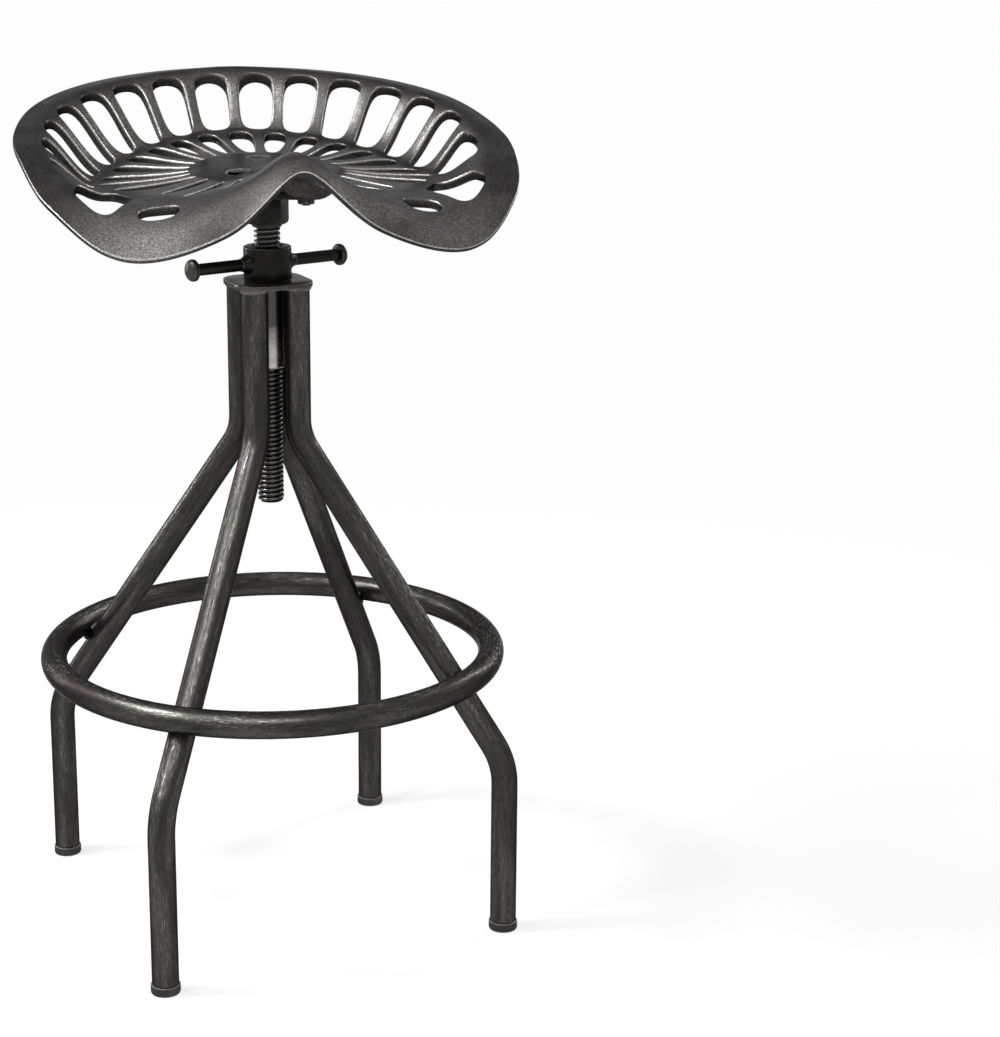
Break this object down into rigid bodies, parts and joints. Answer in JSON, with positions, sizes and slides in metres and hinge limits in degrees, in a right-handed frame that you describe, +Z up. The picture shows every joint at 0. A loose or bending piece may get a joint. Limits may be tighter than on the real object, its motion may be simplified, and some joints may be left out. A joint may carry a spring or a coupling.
{
  "type": "adjustable tractor seat stool",
  "caption": "Backless stool with a dished, slotted cast seat pan on a screw spindle, held by a lock collar with tommy bars over bent tube legs joined by a round foot ring.",
  "frame": {"origin": "centre of the bounding box on the floor under the spindle axis", "axes": "+Z up along the spindle, -Y towards the front of the seat, +X to the right of the seat seen from the front"},
  "size_m": [0.408, 0.4075, 0.7087],
  "materials": {
    "frame_tube": "antiqued gunmetal, brushed along the tubes, under clear lacquer",
    "seat_casting": "dark antiqued casting, rubbed bright on edges and on the front lobes",
    "dark_fittings": "blackened, satin",
    "bare_steel": "bare turned steel, dark towards the top",
    "foot_cap": "dark grey, slightly worn"
  },
  "bodies": {
    "base": {"leg_front_right": "frame_tube", "leg_back_right": "frame_tube", "leg_back_left": "frame_tube", "leg_front_left": "frame_tube", "foot_cap_front_right": "foot_cap", "foot_cap_back_right": "foot_cap", "foot_cap_back_left": "foot_cap", "foot_cap_front_left": "foot_cap", "foot_ring": "frame_tube", "top_plate": "frame_tube", "nut_sleeve": "bare_steel"},
    "lock": {"lock_collar": "dark_fittings", "tommy_bar_right": "dark_fittings", "tommy_bar_left": "dark_fittings"},
    "spindle": {"spindle_screw": "dark_fittings"},
    "seat": {"hexagon_boss": "dark_fittings", "seat_flange": "dark_fittings", "seat_pan": "seat_casting", "seat_bolt_back": "dark_fittings", "seat_bolt_front_left": "dark_fittings", "seat_bolt_front_right": "dark_fittings", "seat_nut_back": "dark_fittings", "seat_nut_front_left": "dark_fittings", "seat_nut_front_right": "dark_fittings"}
  },
  "joints": [
    {"name": "spindle_lift", "type": "slide", "parent": "base", "child": "spindle", "axis": [0, 0, 1], "range_m": [-0.0141, 0.1501]},
    {"name": "seat_turn", "type": "hinge", "parent": "spindle", "child": "seat", "pos_m": [0, 0, 0.62], "axis": [0, 0, 1], "range_deg": [-1260, 13500]},
    {"name": "lock_turn", "type": "hinge", "parent": "base", "child": "lock", "pos_m": [0, 0, 0.563], "axis": [0, 0, 1], "continuous": true}
  ],
  "couplings": [
    {"joint": "spindle_lift", "follows": "seat_turn", "m_per_rad": 0.00063662}
  ]
}
